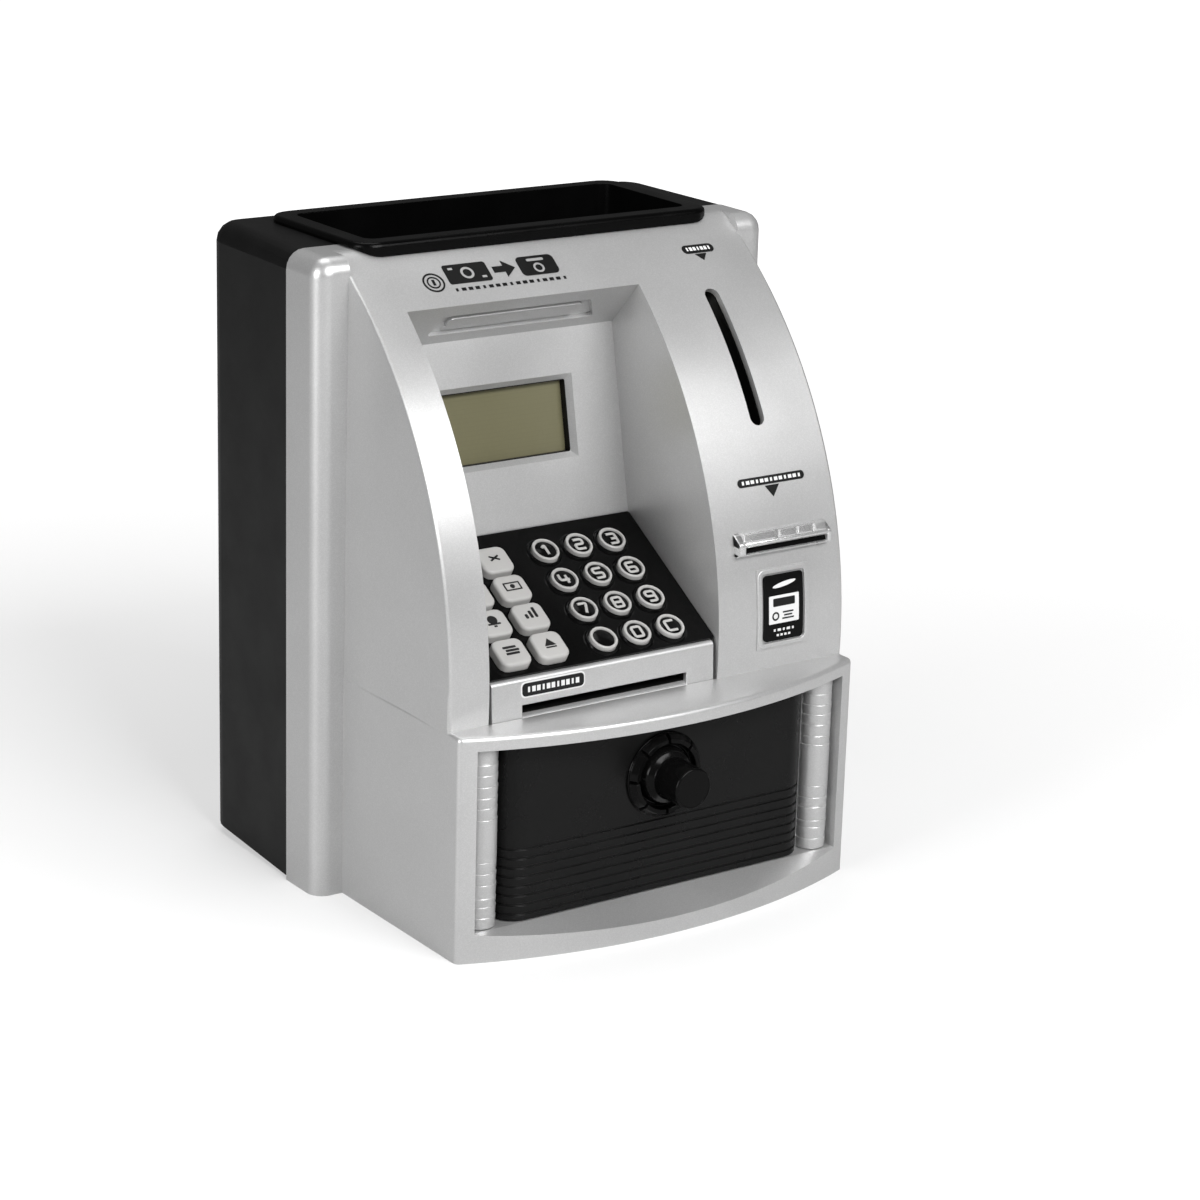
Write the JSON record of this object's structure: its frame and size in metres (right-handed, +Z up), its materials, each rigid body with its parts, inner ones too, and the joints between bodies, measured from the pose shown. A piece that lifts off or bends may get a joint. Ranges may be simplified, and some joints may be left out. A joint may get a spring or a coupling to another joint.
{
  "type": "toy cash machine savings bank",
  "caption": "Toy cash machine money bank with display niche, keypad, coin slot, note feeder, card slot, top tray and a savings drawer with a turning knob.",
  "frame": {"origin": "middle of the footprint at floor level", "axes": "+Z up, -Y towards the person using it, +X to that person's right"},
  "size_m": [0.1676, 0.1554, 0.2053],
  "materials": {
    "silver_shell": "silver flake lacquer over moulded plastic, soft gloss",
    "satin_black": "black moulded plastic with a fine satin grain",
    "gloss_black": "polished black plastic",
    "inner_black": "plain black moulded plastic, unseen from outside",
    "drawer_black": "black plastic with a half gloss",
    "display_glass": "olive liquid crystal window under clear plastic",
    "rubber_sheet": "moulded rubber",
    "circuit_board": "green coated board",
    "steel": "plain steel",
    "white_nylon": "natural white nylon",
    "cell_jacket": "printed sleeve over a steel can",
    "label_print": "printed label with a gloss film",
    "key_grey": "pale grey moulded key with a soft gloss"
  },
  "bodies": {
    "housing": {"front_housing": "silver_shell", "back_cover": "satin_black", "top_tray": "gloss_black", "column_left": "silver_shell", "column_right": "silver_shell", "drawer_runner": "inner_black", "display_lens": "display_glass", "display_module": "inner_black", "key_panel": "gloss_black", "key_sheet": "rubber_sheet", "key_board": "circuit_board", "card_bezel": "silver_shell", "note_bezel": "silver_shell", "note_guide": "inner_black", "feed_motor": "steel", "coin_chute": "inner_black", "main_board": "circuit_board", "speaker": "inner_black", "battery_box": "inner_black", "battery_cell_1": "cell_jacket", "battery_cell_2": "cell_jacket", "battery_cell_3": "cell_jacket", "info_label": "label_print", "cover_screw_1": "steel", "cover_screw_2": "steel", "cover_screw_3": "steel", "cover_screw_4": "steel"},
    "drawer": {"drawer_front": "drawer_black", "drawer_tray": "inner_black", "dial_ring": "drawer_black"},
    "knob_turn": {"knob": "drawer_black", "cam_latch": "steel"},
    "feed_roller": {"feed_shaft": "steel", "feed_sleeve": "rubber_sheet", "feed_gear": "white_nylon"},
    "pinion": {"motor_pinion": "white_nylon"},
    "pinch": {"pinch_roller": "white_nylon"},
    "coin_flap": {"coin_lever": "white_nylon"},
    "cell_door": {"battery_door": "satin_black"},
    "key_digit_1_cap": {"key_digit_1": "key_grey"},
    "key_digit_2_cap": {"key_digit_2": "key_grey"},
    "key_digit_3_cap": {"key_digit_3": "key_grey"},
    "key_digit_4_cap": {"key_digit_4": "key_grey"},
    "key_digit_5_cap": {"key_digit_5": "key_grey"},
    "key_digit_6_cap": {"key_digit_6": "key_grey"},
    "key_digit_7_cap": {"key_digit_7": "key_grey"},
    "key_digit_8_cap": {"key_digit_8": "key_grey"},
    "key_digit_9_cap": {"key_digit_9": "key_grey"},
    "key_blank_cap": {"key_blank": "key_grey"},
    "key_digit_0_cap": {"key_digit_0": "key_grey"},
    "key_clear_cap": {"key_clear": "key_grey"},
    "key_side_1_1_cap": {"key_side_1_1": "key_grey"},
    "key_side_2_1_cap": {"key_side_2_1": "key_grey"},
    "key_side_1_2_cap": {"key_side_1_2": "key_grey"},
    "key_side_2_2_cap": {"key_side_2_2": "key_grey"},
    "key_side_1_3_cap": {"key_side_1_3": "key_grey"},
    "key_side_2_3_cap": {"key_side_2_3": "key_grey"},
    "key_side_1_4_cap": {"key_side_1_4": "key_grey"},
    "key_side_2_4_cap": {"key_side_2_4": "key_grey"}
  },
  "joints": [
    {"name": "drawer_slide", "type": "slide", "parent": "housing", "child": "drawer", "axis": [0, -1, 0], "range_m": [0, 0.085]},
    {"name": "knob_turn_hinge", "type": "hinge", "parent": "drawer", "child": "knob_turn", "pos_m": [0, -0.0663, 0.0473], "axis": [0, 1, 0], "range_deg": [-90, 0]},
    {"name": "feed_roller_spin", "type": "hinge", "parent": "housing", "child": "feed_roller", "pos_m": [0.05, -0.0383, 0.1056], "axis": [1, 0, 0], "continuous": true},
    {"name": "pinion_spin", "type": "hinge", "parent": "housing", "child": "pinion", "pos_m": [0.03, -0.0383, 0.0918], "axis": [1, 0, 0], "continuous": true},
    {"name": "pinch_spin", "type": "hinge", "parent": "housing", "child": "pinch", "pos_m": [0.05, -0.0383, 0.1161], "axis": [1, 0, 0], "continuous": true},
    {"name": "coin_flap_swing", "type": "hinge", "parent": "housing", "child": "coin_flap", "pos_m": [0.0497, -0.0043, 0.178], "axis": [1, 0, 0], "range_deg": [0, 30]},
    {"name": "cell_door_pull", "type": "slide", "parent": "housing", "child": "cell_door", "axis": [0, 1, 0], "range_m": [0, 0.012]},
    {"name": "key_digit_1_press", "type": "slide", "parent": "housing", "child": "key_digit_1_cap", "axis": [0, 0.5189, -0.8548], "range_m": [0, 0.0015], "stiffness_N_per_m": 180},
    {"name": "key_digit_2_press", "type": "slide", "parent": "housing", "child": "key_digit_2_cap", "axis": [0, 0.5189, -0.8548], "range_m": [0, 0.0015], "stiffness_N_per_m": 180},
    {"name": "key_digit_3_press", "type": "slide", "parent": "housing", "child": "key_digit_3_cap", "axis": [0, 0.5189, -0.8548], "range_m": [0, 0.0015], "stiffness_N_per_m": 180},
    {"name": "key_digit_4_press", "type": "slide", "parent": "housing", "child": "key_digit_4_cap", "axis": [0, 0.5189, -0.8548], "range_m": [0, 0.0015], "stiffness_N_per_m": 180},
    {"name": "key_digit_5_press", "type": "slide", "parent": "housing", "child": "key_digit_5_cap", "axis": [0, 0.5189, -0.8548], "range_m": [0, 0.0015], "stiffness_N_per_m": 180},
    {"name": "key_digit_6_press", "type": "slide", "parent": "housing", "child": "key_digit_6_cap", "axis": [0, 0.5189, -0.8548], "range_m": [0, 0.0015], "stiffness_N_per_m": 180},
    {"name": "key_digit_7_press", "type": "slide", "parent": "housing", "child": "key_digit_7_cap", "axis": [0, 0.5189, -0.8548], "range_m": [0, 0.0015], "stiffness_N_per_m": 180},
    {"name": "key_digit_8_press", "type": "slide", "parent": "housing", "child": "key_digit_8_cap", "axis": [0, 0.5189, -0.8548], "range_m": [0, 0.0015], "stiffness_N_per_m": 180},
    {"name": "key_digit_9_press", "type": "slide", "parent": "housing", "child": "key_digit_9_cap", "axis": [0, 0.5189, -0.8548], "range_m": [0, 0.0015], "stiffness_N_per_m": 180},
    {"name": "key_blank_press", "type": "slide", "parent": "housing", "child": "key_blank_cap", "axis": [0, 0.5189, -0.8548], "range_m": [0, 0.0015], "stiffness_N_per_m": 180},
    {"name": "key_digit_0_press", "type": "slide", "parent": "housing", "child": "key_digit_0_cap", "axis": [0, 0.5189, -0.8548], "range_m": [0, 0.0015], "stiffness_N_per_m": 180},
    {"name": "key_clear_press", "type": "slide", "parent": "housing", "child": "key_clear_cap", "axis": [0, 0.5189, -0.8548], "range_m": [0, 0.0015], "stiffness_N_per_m": 180},
    {"name": "key_side_1_1_press", "type": "slide", "parent": "housing", "child": "key_side_1_1_cap", "axis": [0, 0.5189, -0.8548], "range_m": [0, 0.0015], "stiffness_N_per_m": 180},
    {"name": "key_side_2_1_press", "type": "slide", "parent": "housing", "child": "key_side_2_1_cap", "axis": [0, 0.5189, -0.8548], "range_m": [0, 0.0015], "stiffness_N_per_m": 180},
    {"name": "key_side_1_2_press", "type": "slide", "parent": "housing", "child": "key_side_1_2_cap", "axis": [0, 0.5189, -0.8548], "range_m": [0, 0.0015], "stiffness_N_per_m": 180},
    {"name": "key_side_2_2_press", "type": "slide", "parent": "housing", "child": "key_side_2_2_cap", "axis": [0, 0.5189, -0.8548], "range_m": [0, 0.0015], "stiffness_N_per_m": 180},
    {"name": "key_side_1_3_press", "type": "slide", "parent": "housing", "child": "key_side_1_3_cap", "axis": [0, 0.5189, -0.8548], "range_m": [0, 0.0015], "stiffness_N_per_m": 180},
    {"name": "key_side_2_3_press", "type": "slide", "parent": "housing", "child": "key_side_2_3_cap", "axis": [0, 0.5189, -0.8548], "range_m": [0, 0.0015], "stiffness_N_per_m": 180},
    {"name": "key_side_1_4_press", "type": "slide", "parent": "housing", "child": "key_side_1_4_cap", "axis": [0, 0.5189, -0.8548], "range_m": [0, 0.0015], "stiffness_N_per_m": 180},
    {"name": "key_side_2_4_press", "type": "slide", "parent": "housing", "child": "key_side_2_4_cap", "axis": [0, 0.5189, -0.8548], "range_m": [0, 0.0015], "stiffness_N_per_m": 180}
  ],
  "couplings": [
    {"joint": "pinion_spin", "follows": "feed_roller_spin", "ratio": -2.8333},
    {"joint": "pinch_spin", "follows": "feed_roller_spin", "ratio": -1.5}
  ]
}
